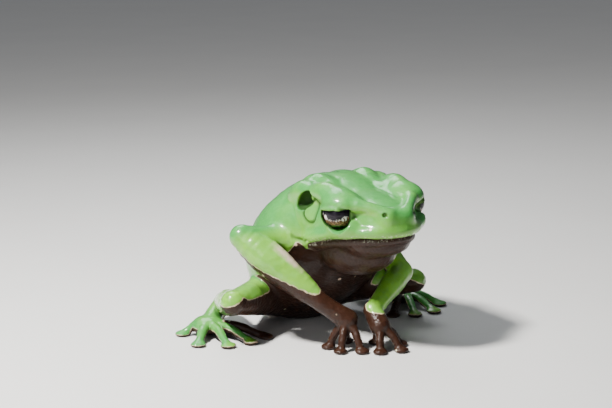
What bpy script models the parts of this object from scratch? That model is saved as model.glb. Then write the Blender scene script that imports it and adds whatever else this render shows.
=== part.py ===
"""A giant monkey frog (Phyllomedusa bicolor) sitting up, life size, as one still model.

The flesh is described by soft forms, egg shapes and tapering limbs, that grow into one another.
They are sampled on a grid, the surface is taken from it as one closed mesh, and thin cuts part
that mesh where a person would name its parts: head, lower jaw, trunk, the segments of each limb,
the fingers and the toes. The two eyes are balls of their own in their sockets.

Lengths here are in millimetres and angles in degrees; the meshes are made in metres, +Z up.
Places are given from the animal: ahead, to its right, and up, which is a height above the floor
for the body and a height above the middle of the eyes for the head.
"""
import math

import bmesh
import bpy
import numpy as np
from mathutils import Vector
from mathutils.bvhtree import BVHTree

MM = 0.001

# Driving dimensions.
YAW = 33.0
EYE_HEIGHT = 50.0
EYE_RADIUS = 5.7
EYE_PLACE = (-2.8, 14.2, 0.4)
SOCKET_GAP = 0.3
LID_THICKNESS = 1.1
UPPER_LID_EDGE = {"r": 1.7, "l": 0.7}
OPENING_PLACE = (3.8, 0.4, -0.5)
OPENING_RADII = {"r": (5.2, 6.0, 5.6), "l": (4.5, 5.2, 4.6)}
EYE_LOOKS_AHEAD = 0.75
CUT_WIDTH = 0.3
FINGER_CUT, TOE_CUT = 0.58, 0.63
GRID_STEP = 0.75
BAND, FAR = 2.5, 5.0
EDGE, OPENING_EDGE = 0.5, 1.0
FILL_DEPTH = 0.05
TRIANGLES = 7200
TRIMMED_SHARE = 0.62
FLOOR_REACH = 0.02
SHARP_ANGLE = 40.0
DISC_THICKNESS = 2.2
FINGER_RADIUS, FINGER_DISC = 1.4, 2.5
TOE_RADIUS, TOE_DISC = 1.6, 2.8
MOUTH_CORNER = (-19.3, -14.1)
SIDES = {"r": 1.0, "l": -1.0}

SKIN_GREEN = (0.24, 0.50, 0.20)
SKIN_BROWN = (0.17, 0.09, 0.06)
EYE_DARK = (0.035, 0.028, 0.035)
SKIN_ROUGHNESS, EYE_ROUGHNESS = 0.35, 0.08


def vec(*parts):
    return np.array(parts, float)


def unit(v):
    return v / np.linalg.norm(v)


class Frame:
    """An origin with three directions: ahead, to the animal's right, and up."""

    def __init__(self, origin, pitch=0.0):
        turn, tip = math.radians(YAW), math.radians(pitch)
        level = vec(math.sin(turn), -math.cos(turn), 0.0)
        right = vec(-math.cos(turn), -math.sin(turn), 0.0)
        up = vec(0.0, 0.0, 1.0)
        ahead = level * math.cos(tip) + up * math.sin(tip)
        self.origin = np.array(origin, float)
        self.axes = np.column_stack([ahead, right, up * math.cos(tip) - level * math.sin(tip)])

    def at(self, ahead, right, up):
        return self.origin + self.axes @ vec(ahead, right, up)

    def toward(self, ahead, right, up):
        return unit(self.axes @ vec(ahead, right, up))


GROUND = Frame((0, 0, 0))
HEAD = Frame((0, 0, EYE_HEIGHT))


# ---------------------------------------------------------------- soft forms

class Ball:
    """An egg shape, with its radii along a frame's directions."""

    def __init__(self, centre, radii, axes=HEAD.axes):
        self.centre = np.array(centre, float)
        self.radii = np.broadcast_to(np.array(radii, float), 3)
        self.axes = axes
        reach = np.sqrt(((axes * self.radii) ** 2).sum(1))
        self.box = self.centre - reach, self.centre + reach

    def distance(self, p):
        q = (p - self.centre) @ self.axes
        near = np.linalg.norm(q / self.radii, axis=-1)
        slope = np.linalg.norm(q / self.radii ** 2, axis=-1)
        return near * (near - 1) / np.maximum(slope, 1e-9)


def smooth_rows(rows, steps):
    """Catmull-Rom curve through rows of any number of values."""
    if len(rows) == 2:
        return rows
    ends = np.vstack([2 * rows[0] - rows[1], rows, 2 * rows[-1] - rows[-2]])
    out = []
    for a, b, c, d in zip(ends, ends[1:], ends[2:], ends[3:]):
        for t in np.arange(steps) / steps:
            bend = (2 * a - 5 * b + 4 * c - d) * t * t + (3 * b - a - 3 * c + d) * t ** 3
            out.append(0.5 * (2 * b + (c - a) * t + bend))
    return np.array(out + [rows[-1]])


class Tube:
    """A round limb along a smooth curve: each entry is a point and the radius there."""

    def __init__(self, entries, steps=4):
        rows = np.array([[*point, radius] for point, radius in entries], float)
        self.rows = smooth_rows(rows, steps)
        points, radii = self.rows[:, :3], self.rows[:, 3:]
        self.box = (points - radii).min(0), (points + radii).max(0)

    def distance(self, p):
        best = np.full(p.shape[:-1], np.inf)
        for start, end in zip(self.rows[:-1], self.rows[1:]):
            along = end[:3] - start[:3]
            t = np.clip(((p - start[:3]) @ along) / (along @ along), 0, 1)
            radius = start[3] + t * (end[3] - start[3])
            gap = np.linalg.norm(p - start[:3] - t[..., None] * along, axis=-1) - radius
            best = np.minimum(best, gap)
        return best


def blend(a, b, width):
    """The nearer of two forms, grown together over a width where they meet."""
    near = np.maximum(width - np.abs(a - b), 0) / width
    return np.minimum(a, b) - near ** 3 * width / 6


def carve(a, b, width):
    """Form a with form b taken out of it, with a rounded edge."""
    return -blend(-a, b, width)


class Cap:
    """The part of a form on the side of a plane that its normal points to."""

    def __init__(self, form, point, normal):
        self.form, self.point, self.normal = form, point, normal
        self.box = form.box

    def distance(self, p):
        return carve(self.form.distance(p), (p - self.point) @ self.normal, EDGE)


class Link:
    """Forms that grow together, with the width of the blend between them."""

    def __init__(self, forms, width):
        self.forms, self.width = forms, width
        lows, highs = zip(*[form.box for form in forms])
        self.box = np.min(lows, 0) - width, np.max(highs, 0) + width

    def distance(self, p):
        total = self.forms[0].distance(p)
        for form in self.forms[1:]:
            total = blend(total, form.distance(p), self.width)
        return total


# ---------------------------------------------------------------- the animal

def mirrored(line):
    """A line of head places from its middle to the right, continued to the left."""
    return [(a, -r, u) for a, r, u in reversed(line[1:])] + line


def head_tube(places, radii):
    return Tube([(HEAD.at(*place), radius) for place, radius in zip(places, radii)])


def head_ball(place, radii):
    return Ball(HEAD.at(*place), radii)


def trunk_forms():
    spine = Frame(GROUND.at(-40, 0, 31), pitch=46)
    return [Ball(spine.origin, (32, 27.6, 20.5), spine.axes),
            Ball(GROUND.at(-27, 0, 38), (15, 18, 14)),
            Ball(GROUND.at(-52, 0, 14), (14, 20, 15)),
            Ball(GROUND.at(-58, 0, 10), (11, 13, 10))]


def skull_forms():
    """The broad flat head: crown, snout, upper lip, brows, ridges and cheeks."""
    lip = [(14.0, 0, -5.2), (12.8, 4.8, -5.2), (9.3, 9.8, -5.4), (3, 14.4, -6.0), (-6, 17.3, -7.7),
           (-16, 18.5, -10.8)]
    forms = [head_ball((-8, 0, -1.5), (21, 15, 7.2)),
             head_ball((-23, 0, 2.8), (13, 13, 6.5)),
             head_ball((3.0, 0, -3.2), (11.6, 11, 6.0)),
             head_tube([(11.4, -3.6, -1.0), (11.4, 3.6, -1.0)], [3.4, 3.4]),
             head_tube(mirrored(lip), [1.9] * 11)]
    for s in SIDES.values():
        snout_edge = [(12.6, s * 3.6, 1.2), (8.6, s * 7.4, 2.7), (4.6, s * 10.8, 3.7)]
        outer_ridge = [(-4, s * 13.0, 4.6), (-11, s * 14.6, 5.9), (-18, s * 15, 4.6),
                       (-26, s * 15.5, 4.0),
                       (-34, s * 14, -5)]
        inner_ridge = [(-19, s * 8.5, 4.6), (-26, s * 10, 5.0), (-37, s * 10, -6)]
        forms += [head_tube(snout_edge, [1.6, 1.9, 2.2]),
                  head_ball((-3.0, s * 12.6, 3.0), (7.8, 6.6, 4.9)),
                  head_ball((-1.5, s * 14.0, -4.2), (8.0, 4.8, 4.2)),
                  head_ball((-12.5, s * 9.5, 2.2), (7.5, 5.5, 5.3)),
                  head_tube(outer_ridge, [3.6, 3.9, 3.6, 3.9, 5.0]),
                  head_tube(inner_ridge, [4.4, 5.0, 6.0]),
                  head_ball((-13, s * 13.2, -5), (8.5, 5.0, 8)),
                  head_ball((-23, s * 14.6, -4.5), (8.5, 5.2, 9.5)),
                  head_ball((-17.5, s * 16.6, -12.2), (4.5, 2.8, 3.2))]
    return forms


def jaw_forms():
    """The lower jaw, set back a little under the lip, and the throat behind it."""
    rim = [(12.0, 0, -8.4), (11.0, 4.4, -8.5), (7.6, 8.6, -8.8), (1.4, 11.8, -9.6), (-7, 14.6, -11.4),
           (-16, 16.4, -14.0)]
    return [head_tube(mirrored(rim), [1.5] * 11),
            head_ball((-3, 0, -12), (13.6, 12.0, 4.6)),
            head_ball((-13, 0, -17), (14, 14, 8.6))]


def eye_centre(side):
    ahead, right, up = EYE_PLACE
    return HEAD.at(ahead, side * right, up)


def eye_axes(side):
    """The way an eye looks, the level way across that toward the snout, and up, as columns."""
    out = HEAD.toward(EYE_LOOKS_AHEAD, side, 0)
    return np.column_stack([out, HEAD.toward(1, -side * EYE_LOOKS_AHEAD, 0), HEAD.axes[:, 2]])


def eye_opening(name, side):
    """What is carved away between the lids: round below, and straight under the upper lid."""
    centre, axes = eye_centre(side), eye_axes(side)
    hollow = Ball(centre + axes @ vec(*OPENING_PLACE), OPENING_RADII[name], axes)
    return Cap(hollow, centre + axes[:, 2] * UPPER_LID_EDGE[name], -axes[:, 2])


ARMS = {
    "r": {"shoulder": (-28, 15, 36), "elbow": (-31, 37.5, 39), "wrist": (-9.9, 18, 17),
          "palm": (-4.5, 10, 10.5), "tips": [(-11, 6.2), (-8, 16), (-0.5, 15.5), (3.6, 9)]},
    "l": {"shoulder": (-28, -15, 36), "elbow": (-14.5, -19, 22), "wrist": (-2.5, 0.5, 13),
          "palm": (2, 0.5, 8.5), "tips": [(-4.2, -1.4), (7.6, 4), (9.6, -3.8), (2.7, -8)]},
}
LEGS = {
    "r": {"hip": (-52, 13, 10.5), "knee": (-28.5, 43, 16), "heel": (-60, 30, 7.5),
          "sole": (-47.5, 43.5, 3.6),
          "tips": [(-31, 28.5), (-27.5, 36.5), (-28, 45.5), (-35, 54), (-50.5, 52.5)]},
    "l": {"hip": (-53, -12, 10.5), "knee": (-26, -33, 14.4), "heel": (-59, -29, 7.5),
          "sole": (-46.5, -41.5, 3.6),
          "tips": [(-30.5, -26.5), (-26.5, -34), (-27, -43), (-34.5, -51), (-50.5, -52.5)]},
}


def places(limb):
    """The limb's joints in space, with the tips of its digits on the floor."""
    joints = {name: GROUND.at(*place) for name, place in limb.items() if name != "tips"}
    joints["tips"] = [GROUND.at(ahead, right, DISC_THICKNESS / 2 - 0.3) for ahead, right in limb["tips"]]
    return joints


def digit_rise(run):
    """How high a digit arches over the floor between its root and its tip."""
    return vec(0, 0, 0.8 + 0.045 * np.linalg.norm(run))


def digit_forms(root, tip, radius, disc):
    """A finger or toe: it rises a little to its knuckle and ends in a flat round disc."""
    run = tip - root
    rise = digit_rise(run)
    level = unit(run * vec(1, 1, 0))
    across = vec(-level[1], level[0], 0)
    bone = Tube([(root, radius * 1.3), (root + run * 0.5 + rise, radius * 1.05),
                 (root + run * 0.8 + rise * 0.35, radius * 0.9),
                 (tip - level + vec(0, 0, 0.4), radius * 0.8)])
    turned = np.column_stack([level, across, vec(0, 0, 1)])
    pad = Ball(tip, (disc * 0.95, disc, DISC_THICKNESS / 2), turned)
    return [bone, pad]


def arm_forms(arm):
    shoulder, elbow, wrist, palm = (arm[name] for name in ("shoulder", "elbow", "wrist", "palm"))
    run = wrist - elbow
    bulge = 0.172 * np.linalg.norm(run)
    upper = Tube([(shoulder, 6.0), ((shoulder + elbow) / 2, 4.4), (elbow, 4.2)])
    fore = Tube([(elbow, 4.4), (elbow + run * 0.3, bulge), (elbow + run * 0.65, bulge * 0.83),
                 (wrist, 3.1)])
    hand = Tube([(wrist, 3.1), (palm, 3.6)])
    return upper, fore, hand


def leg_forms(leg):
    hip, knee, heel, sole = (leg[name] for name in ("hip", "knee", "heel", "sole"))
    thigh = Tube([(hip, 8.6), ((hip + knee) / 2, 6.5), (knee, 4.3)])
    shank = Tube([(knee, 4.3), (knee + (heel - knee) * 0.4, 4.9), (heel, 3.7)])
    foot = Tube([(heel, 3.7), (sole, 3.5)])
    return thigh, shank, foot


def sole_form(leg):
    """The broad flat middle of the foot, from which the toes spread."""
    level = unit((leg["sole"] - leg["heel"]) * vec(1, 1, 0))
    across = vec(-level[1], level[0], 0)
    return Ball(leg["sole"], (7.0, 5.6, 3.4), np.column_stack([level, across, vec(0, 0, 1)]))


def flesh():
    """Every link of the body, and what is carved out of it."""
    trunk, skull, jaw = trunk_forms(), skull_forms(), jaw_forms()
    palate = head_ball((-3, 0, -7.5), (15.5, 12.6, 3.2))
    links = [Link(skull, 3.4), Link([palate], 0.0), Link(jaw + trunk, 5.0),
             Link(skull[:2] + trunk[:2], 7.0)]
    carved = []
    for name, side in SIDES.items():
        arm, leg = places(ARMS[name]), places(LEGS[name])
        upper, fore, hand = arm_forms(arm)
        thigh, shank, foot = leg_forms(leg)
        links += [Link(trunk[:2] + [upper], 5.0), Link([upper, fore], 1.2), Link([fore, hand], 1.5),
                  Link([trunk[2], trunk[0], thigh], 5.0), Link([thigh, shank], 0.8),
                  Link([shank, foot, sole_form(leg)], 1.0)]
        for tip in arm["tips"]:
            links.append(Link([hand] + digit_forms(arm["palm"], tip, FINGER_RADIUS, FINGER_DISC), 2.0))
        for tip in leg["tips"]:
            toe = digit_forms(leg["sole"], tip, TOE_RADIUS, TOE_DISC)
            links.append(Link([sole_form(leg)] + toe, 2.0))
        links.append(Link([skull[0], skull[2], Ball(eye_centre(side), EYE_RADIUS + LID_THICKNESS)], 1.5))
        carved.append(eye_opening(name, side))
    return links, carved


# ---------------------------------------------------------------- from forms to a mesh

def sample(links, carved):
    """The grid of distances to the skin, and its lowest corner."""
    lows, highs = zip(*[link.box for link in links])
    low, high = np.min(lows, 0) - 2 * GRID_STEP, np.max(highs, 0) + 2 * GRID_STEP
    count = np.ceil((high - low) / GRID_STEP).astype(int) + 1
    axes = [low[i] + np.arange(count[i]) * GRID_STEP for i in range(3)]
    field = np.full(count, FAR)

    def part_near(box, margin=BAND):
        first = np.maximum(((box[0] - margin - low) / GRID_STEP).astype(int), 0)
        last = np.minimum(np.ceil((box[1] + margin - low) / GRID_STEP).astype(int) + 1, count)
        cut = tuple(slice(a, b) for a, b in zip(first, last))
        return cut, np.stack(np.meshgrid(*[axes[i][cut[i]] for i in range(3)], indexing="ij"), -1)

    for link in links:
        cut, points = part_near(link.box)
        field[cut] = blend(field[cut], link.distance(points), EDGE)
    for form in carved:
        cut, points = part_near(form.box)
        field[cut] = carve(field[cut], form.distance(points), OPENING_EDGE)
    return field, low


def fill_hollows(field):
    """Make solid what no way through the open reaches from outside."""
    free = field >= 0
    reached = np.zeros_like(free)
    for axis in range(3):
        side = reached.swapaxes(0, axis)
        side[0] = side[-1] = True
    reached &= free
    before = -1
    while reached.sum() > before:
        before = reached.sum()
        for axis in range(3):
            way, room = reached.swapaxes(0, axis), free.swapaxes(0, axis)
            for i in range(1, len(way)):
                way[i] |= way[i - 1] & room[i]
            for i in range(len(way) - 2, -1, -1):
                way[i] |= way[i + 1] & room[i]
    field[free & ~reached] = -FILL_DEPTH


def join_diagonals(field):
    """Fill one corner of each grid square whose inside corners meet only across its diagonal.

    The surface would touch itself along an edge there.
    """
    found = True
    while found:
        found = False
        for u, v in ((0, 1), (1, 2), (2, 0)):
            corners = {}
            for du, dv in ((0, 0), (1, 1), (0, 1), (1, 0)):
                cut = [slice(None)] * 3
                cut[u] = slice(1, None) if du else slice(0, -1)
                cut[v] = slice(1, None) if dv else slice(0, -1)
                corners[du, dv] = field[tuple(cut)]
            a, b, c, d = corners.values()
            split = ((a < 0) == (b < 0)) & ((c < 0) == (d < 0)) & ((a < 0) != (c < 0))
            found = found or split.any()
            for first, second in ((a, b), (c, d)):
                outside = split & (first >= 0)
                nearer = first <= second
                first[outside & nearer] = -FILL_DEPTH
                second[outside & ~nearer] = -FILL_DEPTH


def surface(field, low):
    """Vertices and quads where the grid of distances is zero, one vertex for each crossed cell."""
    inside = field < 0
    size = np.array(field.shape) - 1
    corners = sum(inside[x:x + size[0], y:y + size[1], z:z + size[2]].astype(int)
                  for x in (0, 1) for y in (0, 1) for z in (0, 1))
    crossed = (corners > 0) & (corners < 8)
    cells = np.argwhere(crossed)
    index = np.full(crossed.shape, -1)
    index[crossed] = np.arange(len(cells))
    total, hits = np.zeros((len(cells), 3)), np.zeros(len(cells))
    quads = []
    for axis, (u, v) in enumerate(((1, 2), (2, 0), (0, 1))):
        first = field[tuple(slice(0, -1) if i == axis else slice(None) for i in range(3))]
        second = field[tuple(slice(1, None) if i == axis else slice(None) for i in range(3))]
        change = (first < 0) != (second < 0)
        edges = np.argwhere(change)
        place = edges.astype(float)
        place[:, axis] += first[change] / (first[change] - second[change])
        ring = []
        for du, dv in ((-1, -1), (0, -1), (0, 0), (-1, 0)):
            cell = edges.copy()
            cell[:, u] += du
            cell[:, v] += dv
            ids = index[tuple(cell.T)]
            np.add.at(total, ids, place)
            np.add.at(hits, ids, 1)
            ring.append(ids)
        quad = np.stack(ring, 1)
        backward = first[change] >= 0
        quad[backward] = quad[backward][:, ::-1]
        quads.append(quad)
    return total / hits[:, None] * GRID_STEP + low, np.concatenate(quads)


def mesh_object(name, vertices, faces, group=None):
    mesh = bpy.data.meshes.new(name)
    mesh.from_pydata((np.array(vertices) * MM).tolist(), [], faces)
    item = bpy.data.objects.new(name, mesh)
    (group or bpy.context.scene.collection).objects.link(item)
    return item


def evaluated(item):
    """A bmesh of the object as its modifiers leave it."""
    view = item.evaluated_get(bpy.context.evaluated_depsgraph_get())
    bm = bmesh.new()
    bm.from_mesh(view.to_mesh())
    view.to_mesh_clear()
    return bm


# ---------------------------------------------------------------- the cuts between named parts

HEAD_SHEETS = 24, 25, 21
SHOULDER_CUTS = {"r": (0.5, (0.37, 0.93, 0.02), 8.0), "l": (0.62, (0.6, -0.5, -0.6), 6.2)}
HIP_CUTS = {"r": (0.45, (0.5, 0.83, -0.25), 9.4), "l": (0.52, (0.45, -0.85, -0.28), 10.6)}
ELBOW_REACH, ELBOW_PLATE = {"r": 17.0, "l": 8.5}, 6.0
WRIST_PLATE, DIGIT_PLATE = 4.9, 2.9
KNEE_REACH, KNEE_PLATE, KNEE_LEAN = 25.5, 6.0, 0.12
HEEL_REACH, HEEL_PLATE = 17.0, 5.0
FLOOR_SLAB = (-120, -120, -20), (120, 120, 0)


def cutter(name, vertices, faces, group):
    """A closed cutting solid, with its faces turned outward."""
    item = mesh_object(name, vertices, faces, group)
    bm = bmesh.new()
    bm.from_mesh(item.data)
    bmesh.ops.recalc_face_normals(bm, faces=bm.faces)
    bm.to_mesh(item.data)
    bm.free()
    item.hide_render = True
    item.display_type = "WIRE"


def plate(group, start, end, half_wide, normal, sides=14):
    """A thin plate with round ends, along the line from start to end."""
    normal = unit(normal)
    along = end - start if np.linalg.norm(end - start) > 0 else np.cross(normal, (0.1, 0.2, 1.0))
    along = unit(along - normal * (along @ normal))
    across = np.cross(normal, along)
    turns = np.pi * (np.arange(sides + 1) / sides - 0.5)
    cap = half_wide * (np.outer(np.cos(turns), along) + np.outer(np.sin(turns), across))
    ring = np.vstack([end + cap, start - cap])
    count = len(ring)
    vertices = np.vstack([ring - normal * CUT_WIDTH / 2, ring + normal * CUT_WIDTH / 2])
    walls = [[i, (i + 1) % count, count + (i + 1) % count, count + i] for i in range(count)]
    cutter("plate", vertices, walls + [list(range(count))[::-1], list(range(count, 2 * count))], group)


def sheet(group, profile, half_width):
    """A thin bent sheet across the head, along a profile of places ahead and up."""
    points = np.array(profile, float)
    runs = np.diff(points, axis=0)
    runs /= np.linalg.norm(runs, axis=1)[:, None]
    tangents = np.vstack([runs[:1], (runs[:-1] + runs[1:]) / 2, runs[-1:]])
    sides = np.column_stack([-tangents[:, 1], tangents[:, 0]])
    sides /= np.linalg.norm(sides, axis=1)[:, None]
    outline = np.vstack([points + sides * CUT_WIDTH / 2, (points - sides * CUT_WIDTH / 2)[::-1]])
    count = len(outline)
    vertices = [HEAD.at(a, r, u) for r in (-half_width, half_width) for a, u in outline]
    walls = [[i, (i + 1) % count, count + (i + 1) % count, count + i] for i in range(count)]
    cutter("sheet", vertices, walls + [list(range(count))[::-1], list(range(count, 2 * count))], group)


def bend_plate(group, before, joint, after, reach, half_wide, lean=0.0):
    """A plate through a bent joint, along the line that parts its two segments, as far as the reach.

    The line halves the angle between them, or leans to the second where the first is thicker.
    """
    back, on = unit(before - joint), unit(after - joint)
    middle = unit(back * (1 - lean) + on * (1 + lean))
    side = np.cross(back, on)
    plate(group, joint, joint + middle * (reach - half_wide), half_wide, np.cross(side, middle))


def eye_ball(name, side, radius, group=None):
    bm = bmesh.new()
    bmesh.ops.create_uvsphere(bm, u_segments=20, v_segments=12, radius=radius * MM)
    mesh = bpy.data.meshes.new(name)
    bm.to_mesh(mesh)
    bm.free()
    mesh.shade_smooth()
    item = bpy.data.objects.new(name, mesh)
    item.location = Vector(eye_centre(side) * MM)
    (group or bpy.context.scene.collection).objects.link(item)
    return item


def cut_head(group):
    mouth = [(19, -6.9), (14, -7.15), (3, -8.0), (-6, -9.75), (-15, -12.5), MOUTH_CORNER, (-19.8, -14.3)]
    nape = [(-19.0, -14.4), (-29, -4), (-39, 18)]
    throat = [(-19.7, -13.9), (4, -25.5)]
    for profile, half_width in zip((mouth, nape, throat), HEAD_SHEETS):
        sheet(group, profile, half_width)


def cut_digit(group, root, tip, share):
    run = tip - root
    centre = root + run * share + digit_rise(run) * 0.8
    plate(group, centre, centre, DIGIT_PLATE, run)


def cut_root(group, start, end, cut):
    """A round plate where a limb leaves the trunk: how far along, which way it faces, its radius."""
    share, toward, radius = cut
    centre = start + (end - start) * share
    plate(group, centre, centre, radius, GROUND.toward(*toward))


def cut_arm(group, arm, shoulder_cut, reach):
    cut_root(group, arm["shoulder"], arm["elbow"], shoulder_cut)
    bend_plate(group, arm["shoulder"], arm["elbow"], arm["wrist"], reach, ELBOW_PLATE)
    plate(group, arm["wrist"], arm["wrist"], WRIST_PLATE, arm["palm"] - arm["elbow"])
    for tip in arm["tips"]:
        cut_digit(group, arm["palm"], tip, FINGER_CUT)


def cut_leg(group, leg, hip_cut):
    cut_root(group, leg["hip"], leg["knee"], hip_cut)
    bend_plate(group, leg["hip"], leg["knee"], leg["heel"], KNEE_REACH, KNEE_PLATE, KNEE_LEAN)
    bend_plate(group, leg["knee"], leg["heel"], leg["sole"], HEEL_REACH, HEEL_PLATE)
    for tip in leg["tips"]:
        cut_digit(group, leg["sole"], tip, TOE_CUT)


def cut_floor(group):
    """A slab under the floor: what hangs lower is cut flat there."""
    low, high = FLOOR_SLAB
    corners = [(x, y, z) for x in (low[0], high[0]) for y in (low[1], high[1])
               for z in (low[2], high[2])]
    faces = [(0, 1, 3, 2), (4, 6, 7, 5), (0, 4, 5, 1), (2, 3, 7, 6), (0, 2, 6, 4), (1, 5, 7, 3)]
    cutter("floor", corners, faces, group)


def make_cuts(limbs):
    group = bpy.data.collections.new("cuts")
    bpy.context.scene.collection.children.link(group)
    cut_head(group)
    for name, side in SIDES.items():
        cut_arm(group, limbs[name]["arm"], SHOULDER_CUTS[name], ELBOW_REACH[name])
        cut_leg(group, limbs[name]["leg"], HIP_CUTS[name])
        socket = eye_ball("socket", side, EYE_RADIUS + SOCKET_GAP, group)
        socket.hide_render = True
        socket.display_type = "WIRE"
    cut_floor(group)
    return group


def seeds(limbs):
    """A point inside each named part of the flesh."""
    marks = {"head": HEAD.at(-12, 0, 0), "lower_jaw": HEAD.at(0, 0, -12.5),
             "trunk": GROUND.at(-42, 0, 28)}
    for name, limb in limbs.items():
        arm, leg = limb["arm"], limb["leg"]
        marks["upper_arm_" + name] = arm["shoulder"] * 0.25 + arm["elbow"] * 0.75
        marks["forearm_" + name] = (arm["elbow"] + arm["wrist"]) / 2
        marks["hand_" + name] = arm["palm"]
        marks["thigh_" + name] = leg["hip"] * 0.38 + leg["knee"] * 0.62
        marks["shank_" + name] = (leg["knee"] + leg["heel"]) / 2
        marks["foot_" + name] = leg["sole"]
        for kind, tips in (("finger", arm["tips"]), ("toe", leg["tips"])):
            for number, tip in enumerate(tips, 1):
                marks[f"{kind}_{name}{number}"] = tip
    return marks


def islands(bm):
    """The faces of each separate body in the mesh."""
    left = set(bm.faces)
    while left:
        stack = [left.pop()]
        found = []
        while stack:
            face = stack.pop()
            found.append(face)
            for edge in face.edges:
                for other in edge.link_faces:
                    if other in left:
                        left.remove(other)
                        stack.append(other)
        yield found


def part_mesh(faces):
    corners = {v: i for i, v in enumerate({v: None for face in faces for v in face.verts})}
    mesh = bpy.data.meshes.new("part")
    rings = [[corners[v] for v in face.verts] for face in faces]
    mesh.from_pydata([v.co[:] for v in corners], [], rings)
    return mesh


def tree_of(mesh):
    return BVHTree.FromPolygons([v.co for v in mesh.vertices], [p.vertices for p in mesh.polygons])


def holds(tree, point):
    """Whether a point lies inside a closed surface: a ray from it crosses it an odd number of times."""
    way = Vector((0.31, 0.23, 0.92))
    start = Vector(point * MM)
    crossings = 0
    while True:
        place = tree.ray_cast(start, way)[0]
        if place is None:
            return crossings % 2 == 1
        crossings += 1
        start = place + way * 1e-7


def skin(name, colour, roughness):
    material = bpy.data.materials.new(name)
    material.use_nodes = True
    shader = material.node_tree.nodes["Principled BSDF"]
    shader.inputs["Base Color"].default_value = (*colour, 1.0)
    shader.inputs["Roughness"].default_value = roughness
    shader.inputs["Metallic"].default_value = 0.0
    return material


def finish(item, colour, roughness):
    """The part's own material, and smooth shading everywhere but at the cuts."""
    item.data.materials.append(skin(item.name, colour, roughness))
    item.data.shade_smooth()
    item.data.set_sharp_from_angle(angle=math.radians(SHARP_ANGLE))


def thin(item, share):
    """Leave a share of the object's faces, and lay what is cut by the floor exactly on it."""
    item.modifiers.new("fewer faces", "DECIMATE").ratio = share
    bm = evaluated(item)
    item.modifiers.clear()
    for vertex in bm.verts:
        if abs(vertex.co.z) < FLOOR_REACH * MM:
            vertex.co.z = 0.0
    bm.to_mesh(item.data)
    bm.free()


def divide(body, marks):
    """Part the cut mesh into its separate bodies, and name each by the mark that lies in it.

    The crumbs that two crossing cuts leave hold no mark, and are dropped.
    """
    bm = evaluated(body)
    bmesh.ops.triangulate(bm, faces=bm.faces, ngon_method="EAR_CLIP")
    parts = []
    for faces in islands(bm):
        mesh = part_mesh(faces)
        tree = tree_of(mesh)
        held = [name for name, point in marks.items() if holds(tree, point)]
        if len(held) > 1:
            raise ValueError(f"no cut parts {held}")
        for name in held:
            item = bpy.data.objects.new(name, mesh)
            bpy.context.scene.collection.objects.link(item)
            parts.append(item)
    bm.free()
    return parts


def stand_on_origin(parts):
    """Hang every part on one empty, so that the middle of the whole box's base is the origin."""
    bpy.context.view_layer.update()
    corners = np.array([item.matrix_world @ vertex.co
                        for item in parts for vertex in item.data.vertices])
    middle = (corners.min(0) + corners.max(0)) / 2
    base = bpy.data.objects.new("frog", None)
    base.location = (-middle[0], -middle[1], 0.0)
    bpy.context.scene.collection.objects.link(base)
    for item in parts:
        item.parent = base


def build():
    limbs = {name: {"arm": places(ARMS[name]), "leg": places(LEGS[name])} for name in SIDES}
    field, low = sample(*flesh())
    fill_hollows(field)
    join_diagonals(field)
    vertices, quads = surface(field, low)
    body = mesh_object("body", vertices, quads.tolist())
    thin(body, TRIANGLES / (2 * len(quads)))
    group = make_cuts(limbs)
    cuts = body.modifiers.new("cuts", "BOOLEAN")
    cuts.operation = "DIFFERENCE"
    cuts.operand_type = "COLLECTION"
    cuts.collection = group
    cuts.solver = "EXACT"
    parts = divide(body, seeds(limbs))
    for item in [body, *group.objects]:
        bpy.data.objects.remove(item)
    bpy.data.collections.remove(group)
    for item in parts:
        kind = item.name.split("_")[0]
        if kind not in ("finger", "toe"):
            thin(item, TRIMMED_SHARE)
        colour = SKIN_BROWN if kind in ("lower", "hand", "finger", "toe") else SKIN_GREEN
        finish(item, colour, SKIN_ROUGHNESS)
    for name, side in SIDES.items():
        eye = eye_ball("eye_" + name, side, EYE_RADIUS)
        finish(eye, EYE_DARK, EYE_ROUGHNESS)
        parts.append(eye)
    stand_on_origin(parts)


for old in list(bpy.data.objects):
    bpy.data.objects.remove(old)
build()
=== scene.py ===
"""The looks of the giant monkey frog: its skin in one piece, its eyes, the floor, light and camera.

The skin is taken from the same soft forms as the solids of the frame, sampled more finely and with
what the solids leave out: the edge of the upper lid, nostrils, ear drums, folds and low lumps.
Lengths are in millimetres and angles in degrees, except where Blender is given metres. Places are
given from the animal: ahead, to its right, and up. They start from the floor for the body, and from
a point close to the middle of the eyes for the head.
"""
import math

import bpy
import numpy as np
from mathutils import Euler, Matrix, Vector


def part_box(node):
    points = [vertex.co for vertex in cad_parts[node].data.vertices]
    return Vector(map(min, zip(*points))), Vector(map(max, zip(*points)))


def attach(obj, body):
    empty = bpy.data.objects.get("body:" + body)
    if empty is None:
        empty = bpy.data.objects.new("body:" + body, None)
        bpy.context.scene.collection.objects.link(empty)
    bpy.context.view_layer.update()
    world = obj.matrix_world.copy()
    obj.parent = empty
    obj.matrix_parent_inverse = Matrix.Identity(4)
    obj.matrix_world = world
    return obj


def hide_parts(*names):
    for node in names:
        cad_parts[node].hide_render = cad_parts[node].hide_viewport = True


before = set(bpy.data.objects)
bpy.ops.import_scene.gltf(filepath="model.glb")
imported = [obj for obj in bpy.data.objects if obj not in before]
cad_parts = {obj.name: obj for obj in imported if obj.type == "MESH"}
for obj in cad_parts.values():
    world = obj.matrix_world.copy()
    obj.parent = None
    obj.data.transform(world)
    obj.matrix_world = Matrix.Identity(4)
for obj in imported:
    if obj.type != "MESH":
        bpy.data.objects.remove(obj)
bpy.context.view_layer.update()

MM = 0.001

SIDES = {"r": 1.0, "l": -1.0}

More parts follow.
